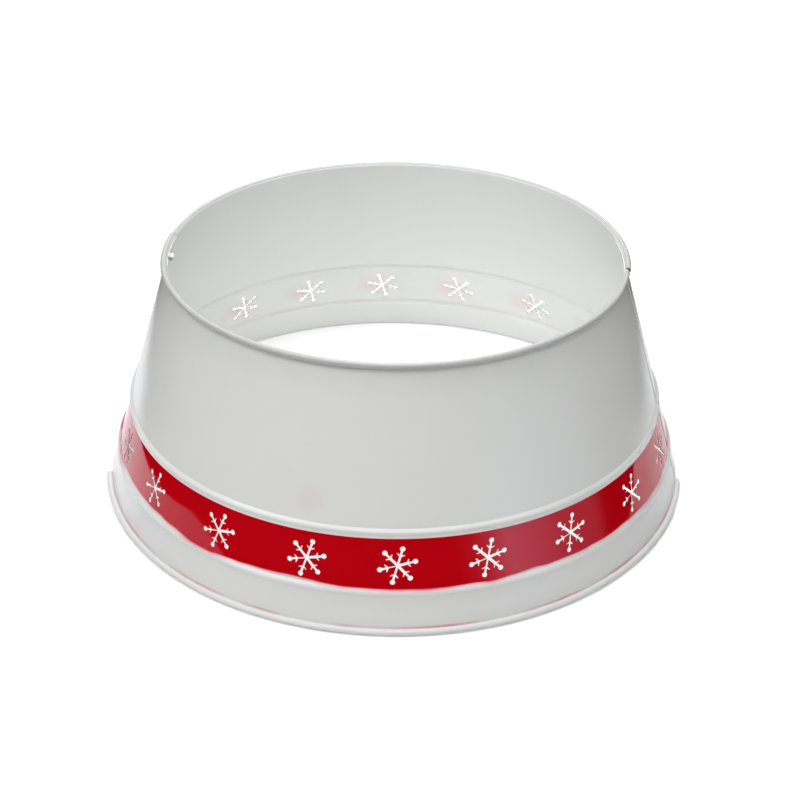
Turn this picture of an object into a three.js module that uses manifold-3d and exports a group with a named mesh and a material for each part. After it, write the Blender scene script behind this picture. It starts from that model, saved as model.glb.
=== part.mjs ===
// Christmas tree collar: two half panels of thin painted steel, lapped and screwed into a tapered ring.
// Millimetres, +Z up. The origin is the centre of the base on the floor, and the front panel faces -Y.
// Azimuths are in degrees, counted from +X towards +Y.

import * as THREE from 'three';
import Module from 'manifold-3d';
import { mergeVertices } from 'three/addons/utils/BufferGeometryUtils.js';

const wasm = await Module();
wasm.setup();

// Overall sizes, over the rolled edges
const bottomDiameter = 560;
const topDiameter = 428;
const collarHeight = 222;

// Sheet and its rolled edges
const sheetThickness = 0.6;
const curlRadius = 3.2;
const pinchedCurlRadius = 2.7;
const curlFacetDegrees = 36;
const curlFacets = 8;

// Beads pressed outwards along both sides of the red band
const lowerBeadHeight = 28.5;
const lowerBeadWidth = 9.9;
const lowerBeadProud = 1.2;
const upperBeadHeight = 80.2;
const upperBeadWidth = 9.8;
const upperBeadProud = 1.9;
const beadWidthShares = [0, 0.2, 0.5, 0.8, 1];
const beadProudShares = [0, 0.7, 1, 0.7, 0];

// Panels: each sweeps half a turn and one lap, in flat facets
const lapDegrees = 18;
const lapFacets = 2;
const openFacets = 18;
const lapClearance = 0.3;
const joggleDegrees = 1;
const neckDegrees = 12;
const neckRampDegrees = 1.5;
const curlButtGap = 1.3;

// Snowflakes cut through the band, a little unevenly spaced, in degrees of azimuth
const frontFlakeAzimuths = [198, 215, 235, 254, 271, 288, 306, 325, 342.5];
const rearFlakeAzimuths = [18, 35.5, 54, 74.5, 93.5, 111.5, 129.5, 147.5, 165];
const flakeHeightShare = 0.46;
const flakeTurn = 14;
const flakeReach = 15.1;
const flakeBallRadius = 2.25;
const flakeBallSteps = 2;
const outerStemWidth = 2;
const innerStemWidths = [2.5, 1.9, 2.4, 1.1, 1.7, 2.5];
const barbPlace = 8.3;
const barbLength = 3.8;
const barbWidth = 1.5;
const barbDegrees = 60;

// Screws and nuts that close the left lap
const screwRadius = 2;
const screwLength = 6;
const screwHoleClearance = 0.3;
const screwInset = 17;
const headRadius = 4;
const headHeight = 2.2;
const headRimShare = 0.35;
const headCrownSteps = 3;
const recessLength = 4.4;
const recessWidth = 0.9;
const recessDepth = 1.2;
const roundSteps = 18;
const nutSides = 6;
const nutAcrossFlats = 7;
const nutHeight = 3.2;
const threadClearance = 0.25;
const seatClearance = 0.1;

// One overrun serves all cuts
const cutOverrun = 4;

const radians = THREE.MathUtils.degToRad;
const fullTurn = 360;
const halfTurn = fullTurn / 2;

// The section lies in a plane of radius and height. The wall's middle line is tangent to both curls.
const curlMid = curlRadius - sheetThickness / 2;
const pinchedCurlMid = pinchedCurlRadius - sheetThickness / 2;
const bottomCurlCentre = new THREE.Vector2(bottomDiameter / 2 - curlRadius, curlRadius);
const topCurlCentre = new THREE.Vector2(topDiameter / 2 - curlRadius, collarHeight - curlRadius);
const wallUp = topCurlCentre.clone().sub(bottomCurlCentre).normalize();
const wallOut = new THREE.Vector2(wallUp.y, -wallUp.x);
const wallLean = Math.atan2(wallOut.y, wallOut.x);
const tongueOffset = -(sheetThickness + lapClearance);

function wallPoint(height, proud = 0) {
  const foot = bottomCurlCentre.clone().addScaledVector(wallOut, proud - curlMid);
  return foot.addScaledVector(wallUp, (height - foot.y) / wallUp.y);
}

// A curl is a chain of flat facets round its centre, each tangent to the middle line of the sheet.
// Its angles are the facets' normals, from the wall's own to one past the free edge.
// One facet lies level, where the curl meets the floor or forms the rim, after those that lead to it.
function curlAngles(levelAngle, step, leadingFacets) {
  const angles = [Math.PI + wallLean];
  for (let facet = 0; facet <= curlFacets; facet += 1) {
    angles.push(levelAngle + step * (facet - leadingFacets));
  }
  return angles;
}

function curlChain(centre, middle, angles) {
  const chain = [];
  for (let corner = 1; corner < angles.length; corner += 1) {
    const mean = (angles[corner] + angles[corner - 1]) / 2;
    const half = Math.abs(angles[corner] - angles[corner - 1]) / 2;
    const reach = middle / Math.cos(half);
    const offset = new THREE.Vector2(Math.cos(mean), Math.sin(mean)).multiplyScalar(reach);
    chain.push(centre.clone().add(offset));
  }
  return chain;
}

const curlStep = radians(curlFacetDegrees);
const bottomCurlAngles = curlAngles(Math.PI * 3 / 2, curlStep, 1);
const topCurlAngles = curlAngles(Math.PI / 2, -curlStep, 2);

function beadChain(height, width, proud) {
  return beadWidthShares.map((share, place) => {
    return wallPoint(height + width * share, proud * beadProudShares[place]);
  });
}

const beadPoints = [
  ...beadChain(lowerBeadHeight, lowerBeadWidth, lowerBeadProud),
  ...beadChain(upperBeadHeight, upperBeadWidth, upperBeadProud),
];

// At each corner the mitre carries a unit offset of both neighbouring facets to their new crossing
function mitreVectors(line) {
  const normals = [];
  for (let place = 1; place < line.length; place += 1) {
    const run = line[place].clone().sub(line[place - 1]).normalize();
    normals.push(new THREE.Vector2(run.y, -run.x));
  }
  return line.map((point, place) => {
    const before = normals[Math.max(place - 1, 0)];
    const after = normals[Math.min(place, normals.length - 1)];
    return before.clone().add(after).divideScalar(1 + before.dot(after));
  });
}

const wallEnds = [wallPoint(bottomCurlCentre.y), wallPoint(topCurlCentre.y)];
const beadMitres = mitreVectors([wallEnds[0], ...beadPoints, wallEnds[1]]).slice(1, -1);

// The middle line of the sheet from the free edge of the bottom curl to that of the top curl
function middleLine(offset, curlMiddle) {
  const shift = offset + curlMiddle - curlMid;
  const bottomCentre = bottomCurlCentre.clone().addScaledVector(wallOut, shift);
  const topCentre = topCurlCentre.clone().addScaledVector(wallOut, shift);
  const bottomCurl = curlChain(bottomCentre, curlMiddle, bottomCurlAngles).reverse();
  const topCurl = curlChain(topCentre, curlMiddle, topCurlAngles);
  const wall = beadPoints.map((point, place) => point.clone().addScaledVector(beadMitres[place], offset));
  return [...bottomCurl, ...wall, ...topCurl];
}

const fullSection = middleLine(0, curlMid);
const pinchedSection = middleLine(0, pinchedCurlMid);
const tongueSection = middleLine(tongueOffset, pinchedCurlMid);
const sectionMitres = mitreVectors(fullSection);
const sectionCells = fullSection.length - 1;

// A panel is a grid of sheet cells, section by azimuth. Cells that are left out leave square edges.
function sheetPanel(columns, keeps) {
  const positions = [];
  const places = new Map();

  function corner(cell, column, side) {
    const key = `${cell} ${column} ${side}`;
    if (!places.has(key)) {
      const { azimuth, section } = columns[column];
      const skin = section[cell].clone().addScaledVector(sectionMitres[cell], side * sheetThickness / 2);
      const angle = radians(azimuth);
      places.set(key, positions.length / 3);
      positions.push(skin.x * Math.cos(angle), skin.x * Math.sin(angle), skin.y);
    }
    return places.get(key);
  }

  const kept = (cell, column) => {
    const inside = cell >= 0 && cell < sectionCells && column >= 0 && column < columns.length - 1;
    return inside && keeps(cell, (columns[column].azimuth + columns[column + 1].azimuth) / 2);
  };
  const faces = [];
  for (let column = 0; column < columns.length - 1; column += 1) {
    for (let cell = 0; cell < sectionCells; cell += 1) {
      if (kept(cell, column)) {
        const ring = [[cell, column], [cell, column + 1], [cell + 1, column + 1], [cell + 1, column]];
        const outer = ring.map(([row, turn]) => corner(row, turn, 1));
        const inner = ring.map(([row, turn]) => corner(row, turn, -1));
        faces.push(outer[0], outer[1], outer[2], outer[0], outer[2], outer[3]);
        faces.push(inner[0], inner[2], inner[1], inner[0], inner[3], inner[2]);
        const beside = [[cell - 1, column], [cell, column + 1], [cell + 1, column], [cell, column - 1]];
        beside.forEach(([row, turn], side) => {
          if (!kept(row, turn)) {
            const next = (side + 1) % ring.length;
            faces.push(outer[next], outer[side], inner[side]);
            faces.push(outer[next], inner[side], inner[next]);
          }
        });
      }
    }
  }
  const geometry = new THREE.BufferGeometry();
  geometry.setAttribute('position', new THREE.Float32BufferAttribute(positions, 3));
  geometry.setIndex(faces);
  return geometry;
}

// Solids for cutting and joining
function toSolid(geometry) {
  const bare = geometry.clone();
  bare.deleteAttribute('normal');
  bare.deleteAttribute('uv');
  const merged = mergeVertices(bare);
  return new wasm.Manifold(new wasm.Mesh({
    numProp: 3,
    vertProperties: new Float32Array(merged.attributes.position.array),
    triVerts: new Uint32Array(merged.index.array),
  }));
}

function fromSolid(solid) {
  const mesh = solid.getMesh();
  const geometry = new THREE.BufferGeometry();
  geometry.setAttribute('position', new THREE.BufferAttribute(mesh.vertProperties, 3));
  geometry.setIndex(new THREE.BufferAttribute(mesh.triVerts, 1));
  return geometry;
}

// A frame on the wall: X runs round the collar, Y up the wall and Z straight out of it.
// On a facet's middle the wall lies nearer the axis by facetShare.
function wallFrame(azimuth, height, outwards = 0, facetShare = 1) {
  const angle = radians(azimuth);
  const spread = (vector) => {
    return new THREE.Vector3(vector.x * Math.cos(angle), vector.x * Math.sin(angle), vector.y);
  };
  const round = new THREE.Vector3(-Math.sin(angle), Math.cos(angle), 0);
  const point = wallPoint(height);
  point.x *= facetShare;
  point.addScaledVector(wallOut, outwards);
  return new THREE.Matrix4().makeBasis(round, spread(wallUp), spread(wallOut)).setPosition(spread(point));
}

// Snowflake cutter: six arms with a ball at the tip and a pair of barbs
function flakeArm(innerWidth) {
  const slant = radians(barbDegrees);
  const run = new THREE.Vector2(Math.cos(slant), Math.sin(slant));
  const across = new THREE.Vector2(run.y, -run.x).multiplyScalar(barbWidth / 2);
  const root = new THREE.Vector2(barbPlace, 0);
  const tip = root.clone().addScaledVector(run, barbLength);
  const halfRoot = barbWidth / 2 / Math.sin(slant);
  const innerHalf = innerWidth / 2;
  const outerHalf = outerStemWidth / 2;
  const ballAngle = Math.asin(outerHalf / flakeBallRadius);
  const side = [
    new THREE.Vector2(0, innerHalf),
    new THREE.Vector2(barbPlace - halfRoot + innerHalf / Math.tan(slant), innerHalf),
    tip.clone().sub(across),
    tip.clone().add(across),
    new THREE.Vector2(barbPlace + halfRoot + outerHalf / Math.tan(slant), outerHalf),
  ];
  const arm = new THREE.Shape();
  arm.moveTo(side[0].x, -side[0].y);
  side.slice(1).forEach((point) => arm.lineTo(point.x, -point.y));
  arm.absarc(flakeReach, 0, flakeBallRadius, ballAngle - Math.PI, Math.PI - ballAngle, false);
  side.reverse().forEach((point) => arm.lineTo(point.x, point.y));
  return arm;
}

function flakeCutter() {
  const options = { depth: cutOverrun * 2, bevelEnabled: false, curveSegments: flakeBallSteps };
  const arms = innerStemWidths.map((width, arm) => {
    const geometry = new THREE.ExtrudeGeometry(flakeArm(width), options);
    geometry.translate(0, 0, -cutOverrun);
    geometry.rotateZ(radians(flakeTurn + fullTurn / innerStemWidths.length * arm));
    return toSolid(geometry);
  });
  return arms.reduce((flake, arm) => flake.add(arm));
}

const bandBottom = lowerBeadHeight + lowerBeadWidth;
const flakeHeight = bandBottom + (upperBeadHeight - bandBottom) * flakeHeightShare;
const flake = fromSolid(flakeCutter());

function cutFlakes(panel, azimuths) {
  return azimuths.reduce((solid, azimuth) => {
    return solid.subtract(toSolid(flake.clone().applyMatrix4(wallFrame(azimuth, flakeHeight))));
  }, panel);
}

// The screws sit on the flat facet next to the end of the tongue in the left lap
const lapFacetDegrees = lapDegrees / lapFacets;
const lapFacetShare = Math.cos(radians(lapFacetDegrees / 2));
const screwAzimuth = halfTurn - lapDegrees / 2 + lapFacetDegrees / 2;
const screwHeights = { lower: screwInset, upper: collarHeight - screwInset };

function cutScrewHoles(panel) {
  const holeRadius = screwRadius + screwHoleClearance;
  let solid = panel;
  Object.values(screwHeights).forEach((height) => {
    const hole = new THREE.CylinderGeometry(holeRadius, holeRadius, cutOverrun * 2, roundSteps);
    hole.rotateX(Math.PI / 2);
    hole.applyMatrix4(wallFrame(screwAzimuth, height, 0, lapFacetShare));
    solid = solid.subtract(toSolid(hole));
  });
  return solid;
}

const panelSweep = halfTurn + lapDegrees;

function panelAzimuths(start, extras) {
  const openStep = (panelSweep - lapDegrees * 2) / openFacets;
  const azimuths = [];
  for (let facet = 0; facet < lapFacets; facet += 1) {
    azimuths.push(start + lapFacetDegrees * facet, start + panelSweep - lapFacetDegrees * facet);
  }
  for (let facet = 0; facet <= openFacets; facet += 1) {
    azimuths.push(start + lapDegrees + openStep * facet);
  }
  extras.forEach((extra) => azimuths.push(start + panelSweep - extra));
  return azimuths.sort((before, after) => before - after);
}

const isBottomCurl = (cell) => cell < curlFacets;
const isTopCurl = (cell) => cell >= sectionCells - curlFacets;

// Both panels are the same pressing. Each lies outside at its first end, where its bottom curl stops
// short of the lap. Towards its last end the curls are pinched, step inwards with the wall and stop.
// From there a tongue without curls runs on behind the first end of the other panel.
function halfPanel(start, flakeAzimuths) {
  const curlEnd = lapDegrees + THREE.MathUtils.radToDeg(curlButtGap / topCurlCentre.x);
  const joggleEnd = curlEnd + joggleDegrees;
  const neckEnd = lapDegrees + neckDegrees;
  const neckRamp = neckEnd - neckRampDegrees;
  const fromTip = (azimuth) => start + panelSweep - azimuth;
  const sectionAt = (distance) => {
    if (distance < (curlEnd + joggleEnd) / 2) {
      return tongueSection;
    }
    return distance < (neckRamp + neckEnd) / 2 ? pinchedSection : fullSection;
  };
  const columns = panelAzimuths(start, [curlEnd, joggleEnd, neckRamp, neckEnd]).map((azimuth) => {
    return { azimuth, section: sectionAt(fromTip(azimuth)) };
  });
  const keeps = (cell, azimuth) => {
    if (fromTip(azimuth) < curlEnd) {
      return !(isBottomCurl(cell) || isTopCurl(cell));
    }
    return azimuth > start + lapDegrees || !isBottomCurl(cell);
  };
  const sheet = toSolid(sheetPanel(columns, keeps));
  return cutScrewHoles(cutFlakes(sheet, flakeAzimuths));
}

// Pan-head screw with a cross recess, along Z, its seat at zero and its shank below
function screwSolid() {
  const rim = headHeight * headRimShare;
  const profile = [new THREE.Vector2(0, -screwLength), new THREE.Vector2(screwRadius, -screwLength)];
  profile.push(new THREE.Vector2(screwRadius, 0), new THREE.Vector2(headRadius, 0));
  for (let step = 0; step < headCrownSteps; step += 1) {
    const angle = Math.PI / 2 * step / headCrownSteps;
    const height = rim + (headHeight - rim) * Math.sin(angle);
    profile.push(new THREE.Vector2(headRadius * Math.cos(angle), height));
  }
  profile.push(new THREE.Vector2(0, headHeight));
  const body = new THREE.LatheGeometry(profile, roundSteps).rotateX(Math.PI / 2);
  const slot = new THREE.BoxGeometry(recessLength, recessWidth, recessDepth * 2);
  slot.translate(0, 0, headHeight);
  const crossing = slot.clone().rotateZ(Math.PI / 2);
  return toSolid(body).subtract(toSolid(slot)).subtract(toSolid(crossing));
}

// Plain hexagon nut along Z, its seat at zero and its body below
function nutSolid() {
  const corner = nutAcrossFlats / 2 / Math.cos(Math.PI / nutSides);
  const hexagon = new THREE.CylinderGeometry(corner, corner, nutHeight, nutSides).rotateX(Math.PI / 2);
  hexagon.translate(0, 0, -nutHeight / 2);
  const boreRadius = screwRadius + threadClearance;
  const bore = new THREE.CylinderGeometry(boreRadius, boreRadius, nutHeight * 2 + cutOverrun, roundSteps);
  bore.rotateX(Math.PI / 2);
  return toSolid(hexagon).subtract(toSolid(bore));
}

const collar = new THREE.Group();

function addPiece(name, solid, color, roughness, metalness) {
  const material = new THREE.MeshStandardMaterial({ color, roughness, metalness });
  const piece = new THREE.Mesh(fromSolid(solid), material);
  piece.name = name;
  collar.add(piece);
  return piece;
}

const rearStart = -lapDegrees / 2;
const frontPanel = halfPanel(rearStart + halfTurn, frontFlakeAzimuths);
const rearPanel = halfPanel(rearStart, rearFlakeAzimuths);
addPiece('front_panel', frontPanel, 0xe4e6e2, 0.35, 0);
addPiece('rear_panel', rearPanel, 0xe4e6e2, 0.35, 0);

const headSeat = sheetThickness / 2 + seatClearance;
const nutSeat = tongueOffset - sheetThickness / 2 - seatClearance;
Object.entries(screwHeights).forEach(([place, height]) => {
  const screw = addPiece(`${place}_screw`, screwSolid(), 0xe2e2de, 0.4, 0.1);
  screw.applyMatrix4(wallFrame(screwAzimuth, height, headSeat, lapFacetShare));
  const nut = addPiece(`${place}_nut`, nutSolid(), 0xc9cbc8, 0.35, 0.8);
  nut.applyMatrix4(wallFrame(screwAzimuth, height, nutSeat, lapFacetShare));
});

export default collar;
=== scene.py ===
# %% [markdown]
# # A tree collar of painted sheet steel
#
# The collar is a tapered ring that hides the foot of a Christmas tree. It is two half panels of thin
# steel, rolled over at both rims, pressed with two beads and punched with snowflakes. The panels are
# lapped and screwed together. They are white, and the band between the beads is sprayed red.
#
# The construction is a finished model at real size. This script loads it as a fixed frame and makes
# the fine surface in the same place: round curls, soft beads, clean cut edges, paint and light.

# %% Load the construction
import math

import bmesh
import bpy
from mathutils import Matrix, Vector


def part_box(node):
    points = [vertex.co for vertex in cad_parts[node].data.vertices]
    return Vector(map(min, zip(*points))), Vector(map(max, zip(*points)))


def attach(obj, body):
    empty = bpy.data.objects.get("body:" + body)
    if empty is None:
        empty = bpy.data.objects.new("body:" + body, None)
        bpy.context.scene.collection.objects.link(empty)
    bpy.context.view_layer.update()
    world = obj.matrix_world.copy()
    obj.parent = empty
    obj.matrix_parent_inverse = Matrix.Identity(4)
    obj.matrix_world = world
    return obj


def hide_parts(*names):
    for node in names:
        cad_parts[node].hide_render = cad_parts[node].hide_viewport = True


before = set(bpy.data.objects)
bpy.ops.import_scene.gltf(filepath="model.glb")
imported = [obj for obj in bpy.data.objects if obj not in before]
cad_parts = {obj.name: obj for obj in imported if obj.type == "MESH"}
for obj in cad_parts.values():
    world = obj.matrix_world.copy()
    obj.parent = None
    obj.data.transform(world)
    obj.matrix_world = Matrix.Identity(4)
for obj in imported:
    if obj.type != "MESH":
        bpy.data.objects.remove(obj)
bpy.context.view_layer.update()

print("pieces of the construction:", ", ".join(sorted(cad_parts)))

# %% [markdown]
# ## The camera
#
# The picture was taken from in front and above with a short telephoto lens. The lens and the place
# could be tried by hand until the two rims match. They were found by fitting instead, from the
# ellipses of both rims and the edges of the red band, which also gave the small roll.

# %% Place the camera
camera_place = Vector((0.00504, -1.248, 0.8104))
camera_drop_degrees = 30.951
camera_roll_degrees = 0.587
camera_lens_mm = 67.75
camera_sensor_mm = 36

camera_data = bpy.data.cameras.new("camera")
camera_data.lens = camera_lens_mm
camera_data.sensor_width = camera_sensor_mm
camera = bpy.data.objects.new("camera", camera_data)
bpy.context.scene.collection.objects.link(camera)
tilt = Matrix.Rotation(math.radians(90 - camera_drop_degrees), 4, "X")
roll = Matrix.Rotation(math.radians(camera_roll_degrees), 4, "Z")
camera.matrix_world = Matrix.Translation(camera_place) @ tilt @ roll
bpy.context.scene.camera = camera
bpy.context.scene.view_settings.view_transform = "Standard"
print("camera stands", round(camera_place.length, 3), "m from the foot of the ring")

# %% [markdown]
# ## The sizes of the sheet
#
# The height comes from the frame and the two radii are measured over the curls. The sheet is 0.6 mm
# thick, and its rims are rolled outwards into curls. In a section through the axis, the wall is a
# straight line that touches both curls. The construction's curls are chains of flat facets, and the
# fine ones are a little slimmer, as in the picture, beside the same wall and as high.

# %% Work out the section's sizes
collar_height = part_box("rear_panel")[1].z
bottom_radius = 0.28
top_radius = 0.214
sheet_thickness = 0.0006
coarse_curl_radius = 0.0032
curl_radius = 0.0028
pinched_curl_radius = 0.0024

coarse_foot = Vector((bottom_radius - coarse_curl_radius, 0, coarse_curl_radius))
coarse_head = Vector((top_radius - coarse_curl_radius, 0, collar_height - coarse_curl_radius))
wall_up = (coarse_head - coarse_foot).normalized()
wall_out = Vector((wall_up.z, 0, -wall_up.x))


def wall_point(height, proud=0):
    """The point of the wall's middle line at that height, moved out from it by proud."""
    foot = coarse_foot + wall_out * (proud - coarse_curl_radius + sheet_thickness / 2)
    return foot + wall_up * ((height - foot.z) / wall_up.z)


def turned(vector, azimuth):
    """A vector of the section, turned about the collar's axis by azimuth degrees."""
    return Matrix.Rotation(math.radians(azimuth), 3, "Z") @ vector


curl_middle = curl_radius - sheet_thickness / 2
pinched_curl_middle = pinched_curl_radius - sheet_thickness / 2
bottom_curl = wall_point(curl_radius, curl_middle)
top_curl = wall_point(collar_height - curl_radius, curl_middle)
print("the wall leans", round(math.degrees(math.atan2(wall_out.z, wall_out.x)), 2), "degrees")

# %% [markdown]
# ## Working in edit mode
#
# Every operator acts on what is selected, so these helpers start each piece with nothing selected
# and pick vertices or faces by their place, as a click would.

# %% Helpers for edit mode
def select_nothing():
    if bpy.context.object and bpy.context.object.mode == "EDIT":
        bpy.ops.object.mode_set(mode="OBJECT")
    bpy.ops.object.select_all(action="DESELECT")


def name_piece(name):
    piece = bpy.context.object
    piece.name = name
    piece.data.name = name
    return piece


def azimuth_of(place):
    return math.degrees(math.atan2(place.y, place.x)) % 360


def pick_vertices(piece, test):
    """In edit mode, selects the vertices whose place passes the test, and what lies between them."""
    mesh = bmesh.from_edit_mesh(piece.data)
    for vertex in mesh.verts:
        vertex.select_set(False)
    for vertex in mesh.verts:
        if test(vertex.co):
            vertex.select_set(True)
    mesh.select_flush(True)
    bmesh.update_edit_mesh(piece.data)
    return sum(vertex.select for vertex in mesh.verts)


def pick_faces(piece, test):
    """In edit mode, selects the faces whose middle passes the test."""
    mesh = bmesh.from_edit_mesh(piece.data)
    for face in mesh.faces:
        face.select_set(False)
    for face in mesh.faces:
        if test(face.calc_center_median()):
            face.select_set(True)
    mesh.select_flush(True)
    bmesh.update_edit_mesh(piece.data)


print("helpers ready")

# %% [markdown]
# ## The section of a panel
#
# On a rolling machine the flat strip gets its curls and beads first. The same line could be typed in
# as a list of points. Here it is drawn as a roller would form it: one vertex is spun round the centre
# of the lower curl, pushed up the wall over both beads, and spun round the upper curl.

# %% Sizes of the curls and beads
curl_turn_degrees = 325
curl_steps = 26
lower_bead = {"height": 0.0297, "width": 0.0080, "proud": 0.0021,
              "softness": 1.05, "skew": 1.6, "steps": 14}
upper_bead = {"height": 0.0805, "width": 0.0074, "proud": 0.0020,
              "softness": 1.15, "skew": 1.6, "steps": 14}
plain_row_height = 0.009
bead_border = 0.0006


def plain_rows(start, end, borders=("start", "end")):
    """Heights after start up to end, evenly spaced but for a close row beside each bead."""
    low = start + (bead_border if "start" in borders else 0)
    high = end - (bead_border if "end" in borders else 0)
    rows = max(1, round((high - low) / plain_row_height))
    heights = [low + (high - low) * row / rows for row in range(rows + 1)]
    return [(height, 0) for height in heights if height > start] + ([(end, 0)] if high < end else [])


def bead_rows(bead):
    """Points over one bead: a softened half wave whose crest is skewed upwards."""
    points = []
    for step in range(1, bead["steps"] + 1):
        share = step / bead["steps"]
        swell = math.sin(math.pi * share ** bead["skew"]) if share < 1 else 0
        points.append((bead["height"] + bead["width"] * share, bead["proud"] * swell ** bead["softness"]))
    return points


wall_foot = bottom_curl - wall_out * curl_middle
wall_head = top_curl - wall_out * curl_middle
wall_rows = plain_rows(wall_foot.z, lower_bead["height"], ("end",))
wall_rows += bead_rows(lower_bead)
wall_rows += plain_rows(lower_bead["height"] + lower_bead["width"], upper_bead["height"])
wall_rows += bead_rows(upper_bead)
wall_rows += plain_rows(upper_bead["height"] + upper_bead["width"], wall_head.z, ("start",))
print("rows up the wall:", len(wall_rows))

# %% [markdown]
# The curls of the real sheet are rolled by a die. They could be bent from a straight strip, but a spun
# vertex gives the same round curl at once, and the wall leaves it without a kink.

# %% Draw the section
def start_line(name, place):
    """A new piece of one vertex at that place, in edit mode."""
    select_nothing()
    bpy.ops.mesh.primitive_plane_add(size=sheet_thickness, location=(0, 0, 0))
    piece = name_piece(name)
    bpy.ops.object.mode_set(mode="EDIT")
    bpy.ops.mesh.select_all(action="SELECT")
    bpy.ops.mesh.merge(type="CENTER")
    bpy.ops.transform.translate(value=place)
    return piece


def draw_on(here, places):
    """Extrudes the end of the line from here through all these places."""
    for there in places:
        bpy.ops.mesh.extrude_region_move(TRANSFORM_OT_translate={"value": there - here})
        here = there


def roll_curl(centre):
    bpy.ops.mesh.spin(steps=curl_steps, angle=math.radians(curl_turn_degrees), center=centre,
                      axis=(0, -1, 0))


def draw_section(name):
    """One open line in the plane of X and Z, from the free edge of the lower curl to that of the upper."""
    free_edge = wall_foot - bottom_curl
    free_edge.rotate(Matrix.Rotation(math.radians(-curl_turn_degrees), 3, "Y"))
    piece = start_line(name, bottom_curl + free_edge)
    roll_curl(bottom_curl)
    draw_on(wall_foot, [wall_point(height, proud) for height, proud in wall_rows])
    roll_curl(top_curl)
    return piece


section = draw_section("section")
drawn_ends = [vertex.co.copy() for vertex in bmesh.from_edit_mesh(section.data).verts]
bpy.ops.object.mode_set(mode="OBJECT")
print("section vertices:", len(drawn_ends), "from", tuple(round(value, 5) for value in drawn_ends[0]),
      "to", tuple(round(value, 5) for value in drawn_ends[-1]))
bpy.data.objects.remove(section)

# %% [markdown]
# ## From section to panel
#
# Each panel sweeps half a turn and one lap of 18 degrees. The section is spun about the collar's
# axis in steps of one degree, fine enough for smooth reflections. Its first end lies outside in one
# lap. Its last end is a tongue that runs behind the other panel, and columns near it are named by
# their distance in degrees from the tip of the tongue.

# %% Spin a panel
lap_degrees = 18
panel_sweep = 180 + lap_degrees
panel_steps = 198
rear_start = -lap_degrees / 2
curl_butt_gap = 0.0013
curl_end = lap_degrees + math.degrees(curl_butt_gap / top_curl.x)
step_degrees = 1
step_slices = 4
column_degrees = 1
weld_reach = sheet_thickness / 100
curl_slack = sheet_thickness / 40


def weld():
    """In edit mode, merges vertices in the same place and turns all faces the same way."""
    bpy.ops.mesh.select_all(action="SELECT")
    bpy.ops.mesh.remove_doubles(threshold=weld_reach)
    bpy.ops.mesh.normals_make_consistent(inside=False)


def spin_panel(name):
    """Spins the section about the collar's axis, and leaves the faces looking outwards."""
    panel = draw_section(name)
    bpy.ops.object.mode_set(mode="OBJECT")
    panel.data.transform(Matrix.Rotation(math.radians(rear_start), 4, "Z"))
    bpy.ops.object.mode_set(mode="EDIT")
    bpy.ops.mesh.select_all(action="SELECT")
    bpy.ops.mesh.spin(steps=panel_steps, angle=math.radians(panel_sweep), center=(0, 0, 0),
                      axis=(0, 0, -1))
    weld()
    mesh = bmesh.from_edit_mesh(panel.data)
    wall_face = min(mesh.faces, key=lambda face: abs(face.calc_center_median().z - collar_height / 2))
    if wall_face.normal.z < 0:
        bpy.ops.mesh.flip_normals()
    return panel


def from_tip(place):
    """Degrees back from the tip of the tongue."""
    along = (azimuth_of(place) - rear_start + 90) % 360 - 90
    return panel_sweep - along


def slice_at(panel, distance):
    """Cuts one more column into the panel, at that distance from the tip."""
    azimuth = math.radians(rear_start + panel_sweep - distance)
    pick_faces(panel, lambda middle: abs(from_tip(middle) - distance) < column_degrees)
    bpy.ops.mesh.bisect(plane_co=(0, 0, 0), plane_no=(-math.sin(azimuth), math.cos(azimuth), 0))


def on_curl(place, centre):
    """True on a curl, and false on the straight wall that leads to it."""
    offset = Vector((Vector((place.x, place.y)).length, 0, place.z)) - centre
    beside_wall = offset.dot(wall_out) + curl_middle
    return offset.length < curl_radius and beside_wall > curl_slack


rear = spin_panel("rear_half")
for cut_number in range(step_slices + 1):
    slice_at(rear, curl_end + step_degrees * cut_number / step_slices)
pick_faces(rear, lambda middle: from_tip(middle) > panel_sweep - lap_degrees and (
    on_curl(middle, bottom_curl)))
bpy.ops.mesh.delete(type="FACE")
pick_faces(rear, lambda middle: from_tip(middle) < curl_end and (
    on_curl(middle, bottom_curl) or on_curl(middle, top_curl)))
bpy.ops.mesh.delete(type="FACE")
print("half panel:", len(rear.data.polygons), "faces; the tongue is", round(curl_end, 2), "degrees long")

# %% [markdown]
# ## The tongue
#
# The tongue slides behind the first end of the other panel. So the curls are pinched smaller on the
# way to it and then stop, and the wall steps inwards by one sheet and a little air. A lattice could
# bend the end, but moving whole columns keeps the wall straight from rim to rim, as a press does.

# %% Pinch and step the tongue, and copy the panel
neck_degrees = 12
neck_ramp_degrees = 1.5
lap_clearance = 0.0003
column_reach = 0.02

step_end = curl_end + step_degrees
neck_end = lap_degrees + neck_degrees
step_depth = sheet_thickness + lap_clearance


def eased(share):
    share = min(max(share, 0), 1)
    return share * share * (3 - 2 * share)


def columns_of(panel, farthest):
    """The distances from the tip at which the panel has columns, down to the farthest."""
    mesh = bmesh.from_edit_mesh(panel.data)
    distances = {round(from_tip(vertex.co), 2) for vertex in mesh.verts}
    return sorted(distance for distance in distances if distance <= farthest)


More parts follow.
